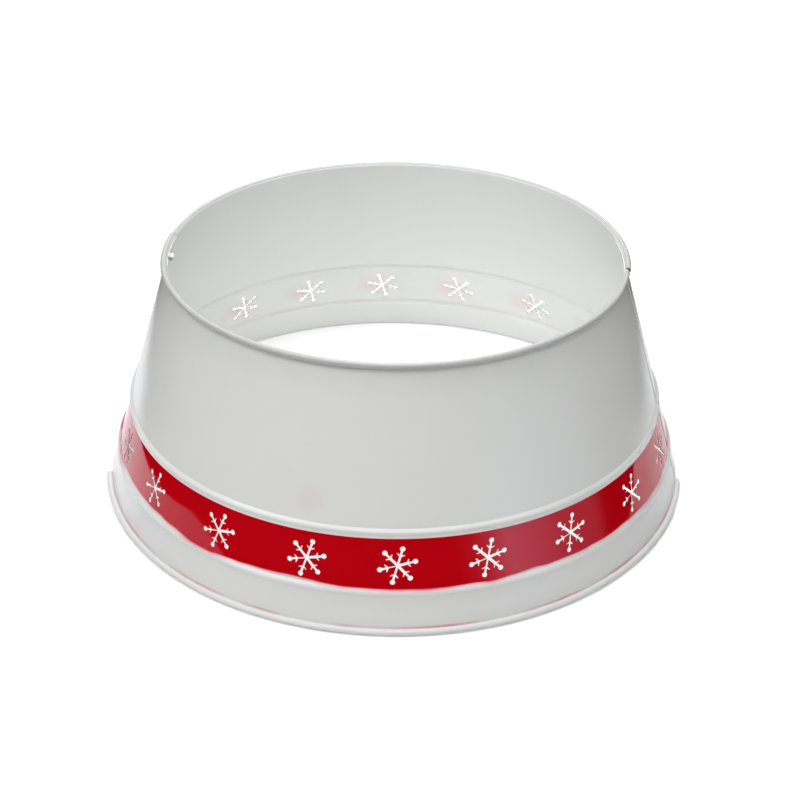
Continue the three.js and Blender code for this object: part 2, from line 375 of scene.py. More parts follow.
def shape_tongue(panel):
    """Pinches the curls and steps the wall inwards, one column at a time."""
    for distance in columns_of(panel, neck_end):
        pinch = eased((neck_end - distance) / neck_ramp_degrees)
        depth = step_depth * eased((step_end - distance) / step_degrees)
        azimuth = rear_start + panel_sweep - distance

        def in_column(place):
            return abs(from_tip(place) - distance) < column_reach

        scale = 1 + (pinched_curl_middle / curl_middle - 1) * pinch
        for tangent, centre in ((wall_foot, bottom_curl), (wall_head, top_curl)):
            if pick_vertices(panel, lambda place: in_column(place) and on_curl(place, centre)):
                bpy.ops.transform.resize(value=(scale, scale, scale),
                                         center_override=turned(tangent, azimuth))
        if depth > 0:
            pick_vertices(panel, in_column)
            bpy.ops.transform.translate(value=-turned(wall_out, azimuth) * depth)


def copy_at(model, name, matrix):
    """A copy with its own mesh, moved there in its mesh."""
    copy = model.copy()
    copy.data = model.data.copy()
    copy.data.transform(matrix)
    copy.name = name
    bpy.context.scene.collection.objects.link(copy)
    return copy


shape_tongue(rear)
bpy.ops.object.mode_set(mode="OBJECT")
front = copy_at(rear, "front_half", Matrix.Rotation(math.pi, 4, "Z"))
print("rear half and front half:", len(rear.data.polygons), "and", len(front.data.polygons), "faces")

# %% [markdown]
# ## Paint and plate
#
# The sheet is white enamel with a fine orange peel, and the band between the beads is sprayed red over
# it. The spray is masked at the upper bead, where its edge is crisp. Over the lower bead it ends in a
# soft mist of changing width. The mist could be drawn into an image, but a mask on the height, bent
# by slow noise, needs no image and keeps its scale.
#
# Orange peel shows in every coat of paint, and overspray in two, so both are node groups.

# %% Helpers for materials
def add_node(tree, kind, inputs=None, **settings):
    """A node with these settings. An input is given a value, or a socket to be linked from."""
    node = tree.nodes.new(kind)
    for setting, value in settings.items():
        setattr(node, setting, value)
    for socket, value in (inputs or {}).items():
        if isinstance(value, bpy.types.NodeSocket):
            tree.links.new(value, node.inputs[socket])
        else:
            node.inputs[socket].default_value = value
    return node


def math_node(tree, operation, first, second=0.0):
    return add_node(tree, "ShaderNodeMath", {0: first, 1: second}, operation=operation).outputs[0]


def ramp_node(tree, value, low, high, low_result=0.0, high_result=1.0):
    """Rises or falls from one result to the other while the value goes from low to high."""
    return add_node(tree, "ShaderNodeMapRange", {
        "Value": value, "From Min": low, "From Max": high,
        "To Min": low_result, "To Max": high_result}).outputs[0]


def noise_node(tree, place, scale, detail):
    return add_node(tree, "ShaderNodeTexNoise", {
        "Vector": place, "Scale": scale, "Detail": detail}).outputs[0]


def distance_node(tree, place, spot):
    return add_node(tree, "ShaderNodeVectorMath", {
        0: place, 1: spot}, operation="DISTANCE").outputs["Value"]


def new_material(name):
    """A material, its tree, its Principled shader and the object coordinates in it."""
    material = bpy.data.materials.new(name)
    material.use_nodes = True
    tree = material.node_tree
    place = add_node(tree, "ShaderNodeTexCoord").outputs["Object"]
    return material, tree, tree.nodes["Principled BSDF"], place


def new_group(name, values, results):
    """An empty node group with a Vector, these values and results, and the sockets of its two ends."""
    group = bpy.data.node_groups.new(name, "ShaderNodeTree")
    group.interface.new_socket(name="Vector", in_out="INPUT", socket_type="NodeSocketVector")
    for label, value in values.items():
        socket = group.interface.new_socket(name=label, in_out="INPUT", socket_type="NodeSocketFloat")
        socket.default_value = value
    for label in results:
        kind = "NodeSocketVector" if label == "Normal" else "NodeSocketFloat"
        group.interface.new_socket(name=label, in_out="OUTPUT", socket_type=kind)
    return group, group.nodes.new("NodeGroupInput").outputs, group.nodes.new("NodeGroupOutput").inputs


def close_group(group, leaves, results):
    """Links the results to the group's own sockets."""
    for label, value in results.items():
        group.links.new(value, leaves[label])
    print("node group", group.name, "has", len(group.nodes), "nodes")
    return group


def use_group(tree, group, inputs):
    return add_node(tree, "ShaderNodeGroup", inputs, node_tree=group).outputs


print("material helpers ready")

# %% [markdown]
# Sprayed enamel dries with fine dimples, and its gloss drifts a little from place to place. The dimples
# could be sculpted or displaced, but at 1.2 mm across a bump of noise shows them as well.

# %% Orange peel, shared by every coat of paint
dimple_size = 0.0012
dimple_depth = 0.00001
gloss_drift = (0.85, 1.2)


def make_orange_peel():
    """Fine dimples as a normal, and a slight change of roughness."""
    group, enters, leaves = new_group("orange_peel", {
        "Dimple Size": dimple_size, "Depth": dimple_depth, "Roughness": 0.3}, ("Normal", "Roughness"))
    density = math_node(group, "DIVIDE", 1.0, enters["Dimple Size"])
    dimples = noise_node(group, enters["Vector"], density, 1.0)
    bump = add_node(group, "ShaderNodeBump", {
        "Height": dimples, "Distance": enters["Depth"], "Strength": 1.0})
    cloud = noise_node(group, enters["Vector"], 22.0, 3.0)
    drift = ramp_node(group, cloud, 0.3, 0.7, *gloss_drift)
    rough = math_node(group, "MULTIPLY", enters["Roughness"], drift)
    return close_group(group, leaves, {"Normal": bump.outputs[0], "Roughness": rough})


orange_peel = make_orange_peel()

# %% [markdown]
# The red band was sprayed through a mask: its head is sharp, and its foot wanders and ends in mist. Two
# cut lines on the mesh could bound it. A mask by height does the same and can fade.

# %% Where the red spray lies
red_foot = 0.0389
red_head = 0.0797
mist_height = 0.0032
mist_wander = 0.0016
mist_fade = 1.8
foot_blur = (0.0006, 0.0004)
head_blur = 0.00015


def make_spray_band():
    """Red is one on the band, and Mist fades out below it, over the lower bead."""
    group, enters, leaves = new_group("spray_band", {
        "Foot": red_foot, "Head": red_head, "Mist": mist_height, "Wander": mist_wander}, ("Red", "Mist"))
    up = add_node(group, "ShaderNodeSeparateXYZ", {0: enters["Vector"]}).outputs["Z"]
    foot, top = enters["Foot"], enters["Head"]
    swing = ramp_node(group, noise_node(group, enters["Vector"], 14.0, 2.0), 0.35, 0.65, -1.0, 1.0)
    height = math_node(group, "ADD", up, math_node(group, "MULTIPLY", swing, enters["Wander"]))
    hard_foot = ramp_node(group, height, math_node(group, "SUBTRACT", foot, foot_blur[0]),
                          math_node(group, "ADD", foot, foot_blur[1]))
    soft_foot = ramp_node(group, height, math_node(group, "SUBTRACT", foot, enters["Mist"]), foot)
    head = ramp_node(group, up, math_node(group, "ADD", top, head_blur),
                     math_node(group, "SUBTRACT", top, head_blur))
    mist = math_node(group, "MULTIPLY", math_node(group, "POWER", soft_foot, mist_fade), head)
    return close_group(group, leaves, {"Red": math_node(group, "MULTIPLY", hard_foot, head), "Mist": mist})


spray_band = make_spray_band()
print("the red band runs from", red_foot, "to", red_head, "m above the floor")

# %% [markdown]
# The curls are painted darker than the wall as painted shade: the upper curl most, the lower one less, and
# the underside of the upper curl darker still. They could be given a material of their own face by face,
# but the paint runs on from the wall. So a mask finds them by height and by how far they stand off it.

# %% Which part of the sheet is a rolled rim
curl_zone = 0.0075
curl_zone_blur = 0.0004
curl_stand_off = 0.0005
stand_off_blur = 0.0002
underside_depths = (0.0046, 0.0057)


def make_rim_zone():
    """Rim is one on the curls, Underside where the upper curl turns under, and Foot near the floor."""
    group, enters, leaves = new_group("rim_zone", {}, ("Rim", "Underside", "Foot"))
    place = add_node(group, "ShaderNodeSeparateXYZ", {0: enters["Vector"]}).outputs
    flat = add_node(group, "ShaderNodeCombineXYZ", {0: place["X"], 1: place["Y"]}).outputs[0]
    height = place["Z"]
    lean = math_node(group, "ADD",
                     math_node(group, "MULTIPLY", distance_node(group, flat, (0, 0, 0)), wall_out.x),
                     math_node(group, "MULTIPLY", height, wall_out.z))
    stand_off = math_node(group, "SUBTRACT", lean, wall_foot.dot(wall_out))
    beside = ramp_node(group, stand_off, curl_stand_off, curl_stand_off + stand_off_blur)
    low_zone = ramp_node(group, height, curl_zone, curl_zone - curl_zone_blur)
    high_start = collar_height - curl_zone
    high_zone = ramp_node(group, height, high_start, high_start + curl_zone_blur)
    # Underside places the painted shade under the upper curl.
    under_curl = ramp_node(group, height, *(collar_height - depth for depth in underside_depths))
    return close_group(group, leaves, {
        "Rim": math_node(group, "MULTIPLY", beside, math_node(group, "MAXIMUM", low_zone, high_zone)),
        "Underside": math_node(group, "MULTIPLY", under_curl, high_zone),
        "Foot": ramp_node(group, height, curl_zone * 2, curl_zone)})


rim_zone = make_rim_zone()

# %% [markdown]
# Stray red mist settled in a thin line above the lower curl, and some blew through the snowflakes to the
# inside. It could be brushed on by hand. A mask between two heights serves both, with slow blotches
# for the line and a wave round the collar for the holes.

# %% Where stray spray settled
hole_beat = 18.9
hole_beat_start = 95


def make_stray_spray():
    """Faint blotches between two heights, or stronger ones round the places of a row of holes."""
    group, enters, leaves = new_group("stray_spray", {
        "Low": 0.0, "High": 0.01, "Edge": 0.002, "Holes": 0.0, "Share": 0.2}, ("Mist",))
    place = add_node(group, "ShaderNodeSeparateXYZ", {0: enters["Vector"]}).outputs
    low, high, edge, holes = (enters[label] for label in ("Low", "High", "Edge", "Holes"))
    above = ramp_node(group, place["Z"], low, math_node(group, "ADD", low, edge))
    below = ramp_node(group, place["Z"], high, math_node(group, "SUBTRACT", high, edge))
    blotches = ramp_node(group, noise_node(group, enters["Vector"], 16.0, 4.0), 0.42, 0.62)
    azimuth = math_node(group, "ARCTAN2", place["Y"], place["X"])
    since_first = math_node(group, "SUBTRACT", azimuth, math.radians(hole_beat_start))
    beat = math_node(group, "COSINE", math_node(group, "MULTIPLY", since_first, 360 / hole_beat))
    round_holes = math_node(group, "MULTIPLY", ramp_node(group, beat, -0.1, 1.0), holes)
    elsewhere = math_node(group, "MULTIPLY", blotches, math_node(group, "SUBTRACT", 1.0, holes))
    spots = math_node(group, "MAXIMUM", round_holes, elsewhere)
    zone = math_node(group, "MULTIPLY", above, below)
    mist = math_node(group, "MULTIPLY", math_node(group, "MULTIPLY", zone, spots), enters["Share"])
    return close_group(group, leaves, {"Mist": mist})


stray_spray = make_stray_spray()

# %% [markdown]
# ## Coats of paint
#
# The outside carries white enamel and the glossy red band, with one faint pink smudge. Each tone could
# be a material on its own faces, but real coats lie over each other. So they are mixed by the masks.

# %% Paint for the outside
white_enamel = (0.79, 0.80, 0.78, 1)
band_red = (0.55, 0.0008, 0.006, 1)
mist_pink = (0.76, 0.12, 0.22, 1)
stray_pink = (0.78, 0.30, 0.38, 1)
cool_shine = (0.96, 0.97, 1.12, 1)
white_roughness = 0.22
red_roughness = 0.045
outside_dimple_depth = 0.000004
band_mist_share = 0.75
smudge_place = (-0.0700, -0.2395, 0.1080)
smudge_reach = 0.017
smudge_share = 0.2


def mix_colour(tree, share, under, over):
    """The colour over, laid on the colour under by share."""
    node = add_node(tree, "ShaderNodeMix", {0: share}, data_type="RGBA")
    for socket, value in ((6, under), (7, over)):
        if isinstance(value, bpy.types.NodeSocket):
            tree.links.new(value, node.inputs[socket])
        else:
            node.inputs[socket].default_value = value
    return node.outputs[2]


def finish_paint(tree, shader, place, roughness, depth=dimple_depth):
    """Gives a coat its orange peel."""
    peel = use_group(tree, orange_peel, {"Vector": place, "Roughness": roughness, "Depth": depth})
    tree.links.new(peel["Normal"], shader.inputs["Normal"])
    tree.links.new(peel["Roughness"], shader.inputs["Roughness"])


def make_outside_paint():
    material, tree, shader, place = new_material("outside_paint")
    shader.inputs["Specular Tint"].default_value = cool_shine
    low_line = use_group(tree, stray_spray, {
        "Vector": place, "Low": 0.0036, "High": 0.0066, "Edge": 0.0008, "Share": 0.8})
    white = mix_colour(tree, low_line["Mist"], white_enamel, stray_pink)
    near_smudge = ramp_node(tree, distance_node(tree, place, smudge_place), smudge_reach, 0.0)
    white = mix_colour(tree, math_node(tree, "MULTIPLY", near_smudge, smudge_share), white, stray_pink)
    band = use_group(tree, spray_band, {"Vector": place})
    mist = math_node(tree, "MULTIPLY", band["Mist"], band_mist_share)
    painted = mix_colour(tree, band["Red"], mix_colour(tree, mist, white, mist_pink), band_red)
    tree.links.new(painted, shader.inputs["Base Color"])
    gloss = ramp_node(tree, band["Red"], 0.0, 1.0, white_roughness, red_roughness)
    finish_paint(tree, shader, place, gloss, outside_dimple_depth)
    return material


outside_paint = make_outside_paint()
print("paint:", outside_paint.name, "with", len(outside_paint.node_tree.nodes), "nodes")

# %% [markdown]
# The inside is painted a brighter white than the outside, as painted light, with a little red mist that
# blew through the snowflakes. The curls show the inner face of the sheet, because it is rolled outwards.
# They are painted darker as painted shade, and their undersides darker still. The punched edges caught the
# red spray, and their dark tone is painted shade.

# %% Paint for the inside and for the cut edges
# The inside white is brighter than the outside's white, as painted light.
lit_inside_white = (0.87, 0.88, 0.86, 1)
# The curls' whites are painted shade: darker on the upper curl, lighter on the lower one.
shaded_rim_white = (0.48, 0.48, 0.47, 1)
lit_foot_white = (0.75, 0.75, 0.74, 1)
# Painted shade for the underside of the upper curl.
painted_underside_shade = (0.10, 0.10, 0.095, 1)
# Red from the spray, darkened as painted shade for the cut walls.
shaded_punched_edge = (0.16, 0.02, 0.03, 1)
inside_roughness = 0.34
edge_roughness = 0.5


def make_inside_paint():
    material, tree, shader, place = new_material("inside_paint")
    blown = use_group(tree, stray_spray, {
        "Vector": place, "Low": 0.044, "High": 0.072, "Edge": 0.010, "Holes": 1.0, "Share": 0.16})
    along = use_group(tree, stray_spray, {
        "Vector": place, "Low": 0.030, "High": 0.041, "Edge": 0.004, "Share": 0.12})
    white = mix_colour(tree, blown["Mist"], lit_inside_white, stray_pink)
    white = mix_colour(tree, along["Mist"], white, stray_pink)
    zone = use_group(tree, rim_zone, {"Vector": place})
    # The curls get painted shade: one white for the upper curl, a lighter one near the floor, a dark one
    # under the upper curl.
    rim = mix_colour(tree, zone["Foot"], shaded_rim_white, lit_foot_white)
    rim = mix_colour(tree, zone["Underside"], rim, painted_underside_shade)
    tree.links.new(mix_colour(tree, zone["Rim"], white, rim), shader.inputs["Base Color"])
    finish_paint(tree, shader, place, inside_roughness)
    return material


def make_plain_paint(name, colour, roughness):
    material, tree, shader, place = new_material(name)
    shader.inputs["Base Color"].default_value = colour
    finish_paint(tree, shader, place, roughness)
    return material


inside_paint = make_inside_paint()
edge_paint = make_plain_paint("shaded_punched_edge", shaded_punched_edge, edge_roughness)
print("paints:", inside_paint.name, "and", edge_paint.name)

# %% [markdown]
# ## Thickness
#
# The panels are still surfaces without thickness. Solidify grows them equally to both sides, so the
# drawn line stays the middle of the sheet, and gives each side its own paint.

# %% Give the sheet its thickness
def apply_modifier(piece, kind, **settings):
    """Adds a modifier with these settings and applies it."""
    select_nothing()
    piece.select_set(True)
    bpy.context.view_layer.objects.active = piece
    modifier = piece.modifiers.new(kind.lower(), kind)
    for setting, value in settings.items():
        setattr(modifier, setting, value)
    bpy.ops.object.modifier_apply(modifier=modifier.name)


def thicken(panel):
    for paint in (outside_paint, inside_paint, edge_paint):
        panel.data.materials.append(paint)
    apply_modifier(panel, "SOLIDIFY", thickness=sheet_thickness, offset=0, use_even_offset=True,
                   use_quality_normals=True, material_offset=1, material_offset_rim=1)


for panel in (rear, front):
    thicken(panel)
    print(panel.name, "has", len(panel.data.polygons), "faces with its thickness")

# %% [markdown]
# ## The snowflakes
#
# Nine snowflakes are punched through the band of each panel, all with one punch. The punch could be an
# outline typed in point by point. It is built here as a toolmaker would, from plain shapes: two bars,
# two barbs and a round tip to each arm, six arms, united into one solid.

# %% Sizes of the punch
flake_reach = 0.0151
flake_tip_radius = 0.00225
outer_stem_width = 0.002
inner_stem_widths = (0.0025, 0.0019, 0.0024, 0.0011, 0.0017, 0.0025)
barb_place = 0.0083
barb_length = 0.0040
barb_width = 0.0017
barb_degrees = 60
barb_taper = 0.45
flake_turn_degrees = 14
punch_depth = 0.008
tip_sides = 28

print("the punch is", round(2 * (flake_reach + flake_tip_radius), 4), "m across")

# %% [markdown]
# The arms overlap at the middle, and barbs overlap their stems. They could be left as loose solids, but
# a union gives one clean cutting edge, so that no sliver is left in the sheet.

# %% Build the punch
def add_bar(start, end, width, taper=1):
    """A bar of the punch along X from start to end, narrowed at its far end by taper."""
    bpy.ops.mesh.primitive_cube_add(size=1, location=((start + end) / 2, 0, 0))
    bar = bpy.context.object
    bar.scale = (end - start, width, punch_depth)
    bpy.ops.object.transform_apply(location=True, rotation=False, scale=True)
    bpy.ops.object.mode_set(mode="EDIT")
    pick_vertices(bar, lambda place: place.x > (start + end) / 2)
    bpy.ops.transform.resize(value=(1, taper, 1), center_override=(end, 0, 0))
    bpy.ops.object.mode_set(mode="OBJECT")
    return bar


def add_arm(inner_width, turn):
    """One arm of the punch, with overlapping solids that are united later."""
    parts = [add_bar(0, barb_place, inner_width), add_bar(barb_place, flake_reach, outer_stem_width)]
    for side in (-1, 1):
        barb = add_bar(0, barb_length, barb_width, barb_taper)
        swing = Matrix.Rotation(math.radians(barb_degrees * side), 4, "Z")
        barb.data.transform(Matrix.Translation((barb_place, 0, 0)) @ swing)
        parts.append(barb)
    bpy.ops.mesh.primitive_cylinder_add(vertices=tip_sides, radius=flake_tip_radius, depth=punch_depth,
                                        location=(flake_reach, 0, 0))
    bpy.ops.object.transform_apply(location=True)
    parts.append(bpy.context.object)
    for part in parts:
        part.data.transform(Matrix.Rotation(turn, 4, "Z"))
    return parts


def join(parts, name):
    select_nothing()
    for part in parts:
        part.select_set(True)
    bpy.context.view_layer.objects.active = parts[0]
    bpy.ops.object.join()
    return name_piece(name)


select_nothing()
bars = []
for arm, inner_width in enumerate(inner_stem_widths):
    bars += add_arm(inner_width, math.radians(flake_turn_degrees + 360 / len(inner_stem_widths) * arm))
punch = join(bars, "snowflake_punch")
bpy.ops.object.mode_set(mode="EDIT")
bpy.ops.mesh.select_all(action="SELECT")
bpy.ops.mesh.intersect_boolean(operation="UNION", use_self=True, solver="EXACT")
bpy.ops.object.mode_set(mode="OBJECT")
print("the punch has", len(punch.data.polygons), "faces")

# %% [markdown]
# The punch is set square to the wall at each place round the band, and the copies are cut out of the
# panel in one go. The places were read off the picture, and they are a little uneven, as by hand.

# %% Punch the snowflakes
band_height_share = 0.46
band_foot = lower_bead["height"] + lower_bead["width"]
flake_height = band_foot + (upper_bead["height"] - band_foot) * band_height_share
front_azimuths = (198, 215, 235, 254, 271, 288, 306, 325, 342.5)
rear_azimuths = (18, 35.5, 54, 74.5, 93.5, 111.5, 129.5, 147.5, 165)


def on_wall(azimuth, height, outwards=0):
    """Sets a piece on the wall: X runs round the collar, Y up the wall and Z straight out of it."""
    up = turned(wall_up, azimuth)
    out = turned(wall_out, azimuth)
    place = turned(wall_point(height), azimuth) + out * outwards
    return Matrix.Translation(place) @ Matrix((up.cross(out), up, out)).transposed().to_4x4()


def cut(piece, tool, operation="DIFFERENCE", material_mode="INDEX"):
    """Cuts the tool out of the piece, or keeps what both share, and puts the tool away."""
    apply_modifier(piece, "BOOLEAN", object=tool, operation=operation, solver="EXACT",
                   material_mode=material_mode)
    bpy.data.objects.remove(tool)


punch.data.materials.append(edge_paint)
for panel, azimuths in ((front, front_azimuths), (rear, rear_azimuths)):
    copies = [copy_at(punch, "punch_copy", on_wall(azimuth, flake_height)) for azimuth in azimuths]
    cut(panel, join(copies, "punch_row"), material_mode="TRANSFER")
    print(panel.name, "has", len(panel.data.polygons), "faces with", len(azimuths), "snowflakes")
bpy.data.objects.remove(punch)

# %% [markdown]
# ## Screws and nuts
#
# Two screws close the left lap, near the rims, with their heads outside and their nuts inside. The
# heads are domed and have a cross recess. A screw is a turned part, so its outline is drawn once and
# spun round its axis, and the recess is cut last, as the heading tool does.

# %% Sizes and outline of the screw
screw_radius = 0.002
screw_length = 0.006
head_radius = 0.004
head_height = 0.0022
head_rim = 0.00077
head_steps = 8
thread_pitch = 0.0007
thread_depth = 0.0003


def screw_outline():
    """Points of radius and height, from the middle of the dome to the middle of the tip."""
    points = [(0, head_height)]
    for step in range(1, head_steps + 1):
        angle = math.pi / 2 * step / head_steps
        points.append((head_radius * math.sin(angle),
                       head_rim + (head_height - head_rim) * math.cos(angle)))
    points += [(head_radius, thread_depth / 2), (head_radius - thread_depth / 2, 0), (screw_radius, 0)]
    turns = int((screw_length - thread_pitch) / thread_pitch)
    for turn in range(turns):
        top = -thread_pitch * turn
        points.append((screw_radius - thread_depth, top - thread_pitch / 2))
        points.append((screw_radius, top - thread_pitch))
    return points + [(screw_radius - thread_depth, -screw_length), (0, -screw_length)]


print("points on the screw's outline:", len(screw_outline()))

# %% [markdown]
# The thread is a row of ridges on the outline. A true helix could be swept, but the shank is hidden in
# the lap, and ridges catch the light in the same way.

# %% Turn the screw and cut its recess
turning_steps = 40
recess_length = 0.0044
recess_width = 0.0009
recess_depth = 0.0012
recess_taper = 0.55


def turn_piece(name, outline):
    """Spins an outline of radius and height round the Z axis into a closed piece."""
    places = [Vector((radius, 0, height)) for radius, height in outline]
    piece = start_line(name, places[0])
    draw_on(places[0], places[1:])
    bpy.ops.mesh.select_all(action="SELECT")
    bpy.ops.mesh.spin(steps=turning_steps, angle=math.tau, center=(0, 0, 0), axis=(0, 0, 1))
    weld()
    bpy.ops.object.mode_set(mode="OBJECT")
    return piece


screw = turn_piece("screw", screw_outline())
for turn in (0, math.pi / 2):
    bpy.ops.mesh.primitive_cube_add(size=1, location=(0, 0, 0))
    blade = bpy.context.object
    blade.scale = (recess_length, recess_width, recess_depth * 2)
    bpy.ops.object.transform_apply(location=False, rotation=False, scale=True)
    bpy.ops.object.mode_set(mode="EDIT")
    pick_vertices(blade, lambda place: place.z < 0)
    bpy.ops.transform.resize(value=(recess_taper, recess_taper, 1), center_override=(0, 0, 0))
    bpy.ops.object.mode_set(mode="OBJECT")
    blade.data.transform(Matrix.Translation((0, 0, head_height)) @ Matrix.Rotation(turn, 4, "Z"))
    cut(screw, blade)
print("the screw has", len(screw.data.polygons), "faces")

# %% [markdown]
# The nut is a plain hexagon nut with chamfered corners. It could be a bevelled hexagon, but the chamfer
# of a real nut is turned. So a turned blank is cut to a hexagon and then bored.

# %% Model the nut
nut_across_flats = 0.007
nut_height = 0.0032
nut_chamfer = 0.0005
nut_chamfer_run = 0.00065
nut_bore_radius = 0.00175
nut_sides = 6


def add_rod(sides, radius, length):
    bpy.ops.mesh.primitive_cylinder_add(vertices=sides, radius=radius, depth=length, location=(0, 0, 0))
    return bpy.context.object


half_width = nut_across_flats / 2
half_height = nut_height / 2
nut = turn_piece("nut", [
    (0, half_height), (half_width, half_height),
    (half_width + nut_chamfer_run, half_height - nut_chamfer),
    (half_width + nut_chamfer_run, nut_chamfer - half_height),
    (half_width, -half_height), (0, -half_height)])
cut(nut, add_rod(nut_sides, half_width / math.cos(math.pi / nut_sides), nut_height * 2), "INTERSECT")
cut(nut, add_rod(turning_steps, nut_bore_radius, nut_height * 2))
nut.data.transform(Matrix.Translation((0, 0, -half_height)))
print("the nut has", len(nut.data.polygons), "faces")

# %% [markdown]
# Both sheets of the lap are drilled and each screw is put through them. Holes could be left in each mesh
# from the start, but one drill set square to the wall keeps the holes of both sheets in line.

# %% Drill the lap and set the screws
screw_azimuth = 175.5
screw_inset = 0.017
hole_clearance = 0.0003
seat_clearance = 0.0001
screw_heights = {"lower": screw_inset, "upper": collar_height - screw_inset}
head_seat = sheet_thickness / 2 + seat_clearance
nut_seat = -(step_depth + sheet_thickness / 2 + seat_clearance)
fixings = {}
for place, height in screw_heights.items():
    for panel in (rear, front):
        drill = add_rod(turning_steps, screw_radius + hole_clearance, punch_depth)
        drill.data.transform(on_wall(screw_azimuth, height))
        drill.data.materials.append(edge_paint)
        cut(panel, drill, material_mode="TRANSFER")
    fixings[f"{place}_screw"] = copy_at(screw, f"{place}_screw_turned",
                                        on_wall(screw_azimuth, height, head_seat))
    fixings[f"{place}_nut"] = copy_at(nut, f"{place}_nut_cut", on_wall(screw_azimuth, height, nut_seat))
bpy.data.objects.remove(screw)
bpy.data.objects.remove(nut)
print("fixings:", ", ".join(sorted(fixings)))

# %% [markdown]
# The screws are painted like the sheet, and the nuts are zinc plated, with a fine grey spangle. The
# spangle could be an image, but noise between two greys stays sharp at any size.

# %% Paint and plate the fixings
screw_white = (0.74, 0.74, 0.72, 1)
screw_roughness = 0.35
dark_zinc = (0.50, 0.51, 0.51, 1)
light_zinc = (0.70, 0.70, 0.68, 1)
zinc_roughness = 0.38
spangle_scale = 900.0


def make_zinc_plate():
    material, tree, shader, place = new_material("zinc_plate")
    shader.inputs["Metallic"].default_value = 1
    tone = ramp_node(tree, noise_node(tree, place, spangle_scale, 3.0), 0.3, 0.7)
    tree.links.new(mix_colour(tree, tone, dark_zinc, light_zinc), shader.inputs["Base Color"])
    finish_paint(tree, shader, place, zinc_roughness)
    return material


screw_paint = make_plain_paint("screw_paint", screw_white, screw_roughness)
zinc_plate = make_zinc_plate()
for name, piece in fixings.items():
    piece.data.materials.clear()
    piece.data.materials.append(zinc_plate if name.endswith("nut") else screw_paint)
print("fixings finished with", screw_paint.name, "and", zinc_plate.name)

# %% [markdown]
# Rolled sheet is smooth and its cut edges are sharp. More faces could round it off, but smooth shading
# by angle shows both: faces that meet below 30 degrees are shaded as one surface.

# %% Smooth the surfaces
smooth_degrees = 30

for piece in (rear, front, *fixings.values()):
    select_nothing()
    piece.select_set(True)
    bpy.context.view_layer.objects.active = piece
    bpy.ops.object.shade_smooth_by_angle(angle=math.radians(smooth_degrees))
print("smoothed below", smooth_degrees, "degrees")

# %% [markdown]
# Each fine piece takes the place of one solid of the construction, which is hidden. Nothing on the collar
# turns or slides in use, so every piece rides the one body.

# %% Let every piece stand for its node
for piece, node, slot in ((rear, "rear_panel", "painted_sheet"), (front, "front_panel", "painted_sheet")):
    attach(piece, "root")
    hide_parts(node)
for name, piece in fixings.items():
    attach(piece, "root")
    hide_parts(name)
print("nodes replaced:", 2 + len(fixings))

# %% [markdown]
# ## The studio
#
# The ring stands on a wide pale floor under soft lamps: one straight above, large ones behind, in
# front and at the left, and a weak one at the right. So the inside is as bright as the outside and the
# right is a little darker. The floor could be pure white light, but then it would have no shadow. Here
# a share of its light is its own, seen by the camera and mirrored by the paint but lighting nothing
# else, and the rest is what falls on it.

# %% Lay the floor
floor_size = 8
floor_drop = 0.0002
floor_colour = (0.90, 0.90, 0.90, 1)
# Painted shadow on the floor inside the ring near the front.
shaded_floor = (0.76, 0.76, 0.76, 1)
ring_edge = (0.262, 0.272)
shaded_spot = (0, -0.11, 0)
shaded_reach = (0.17, 0.24)
near_glow = 0.22
far_glow = 0.45
glow_reach = (0.35, 1.3)
horizon_glow = 1.0
horizon_reach = (1.5, 3.5)
bright_spot = (-0.42, 0.08, 0)
spot_reach = 0.4
spot_glow = 0.25
mirrored_glow = 0.06
mirrored_colour = (0.80, 1.0, 1.35, 1)
shade_edge = (-0.09, -0.12)
shade_share = 0.5


def make_floor_material():
    """Pale paper with a glow of its own. Inside the ring near the front it is painted darker, as painted
    shadow, and the snowflakes show it. Reflections see it painted darker towards the front, as painted
    shade, and brighter round a spot at the left, as a painted reflection.
    """
    material, tree, shader, place = new_material("studio_floor")
    tree.nodes.remove(shader)
    path = add_node(tree, "ShaderNodeLightPath").outputs
    depth = add_node(tree, "ShaderNodeSeparateXYZ", {0: place}).outputs["Y"]
    radius = distance_node(tree, place, (0, 0, 0))
    open_floor = math_node(tree, "MAXIMUM", ramp_node(tree, radius, *ring_edge),
                           ramp_node(tree, distance_node(tree, place, shaded_spot), *shaded_reach))
    colour = mix_colour(tree, open_floor, shaded_floor, floor_colour)
    mirrored_front = math_node(tree, "MULTIPLY", path["Is Glossy Ray"], ramp_node(tree, depth, *shade_edge))
    shade = math_node(tree, "MULTIPLY", mirrored_front, shade_share)
    diffuse = add_node(tree, "ShaderNodeBsdfDiffuse", {
        "Color": mix_colour(tree, shade, colour, (0, 0, 0, 1))})
    own_light = math_node(tree, "MAXIMUM", ramp_node(tree, radius, *glow_reach, near_glow, far_glow),
                          ramp_node(tree, radius, *horizon_reach, 0.0, horizon_glow))
    seen = math_node(tree, "MAXIMUM", path["Is Camera Ray"], path["Is Transmission Ray"])
    seen = math_node(tree, "MULTIPLY", seen, own_light)
    from_spot = distance_node(tree, place, bright_spot)
    mirrored = math_node(tree, "MULTIPLY", path["Is Glossy Ray"],
                         ramp_node(tree, from_spot, 0.0, spot_reach, spot_glow, mirrored_glow))
    level = math_node(tree, "MULTIPLY", math_node(tree, "MAXIMUM", seen, mirrored), open_floor)
    tint = mix_colour(tree, path["Is Glossy Ray"], (1, 1, 1, 1), mirrored_colour)
    glow = add_node(tree, "ShaderNodeEmission", {"Color": tint, "Strength": level})
    both = add_node(tree, "ShaderNodeAddShader", {0: diffuse.outputs[0], 1: glow.outputs[0]})
    tree.links.new(both.outputs[0], tree.nodes["Material Output"].inputs["Surface"])
    return material


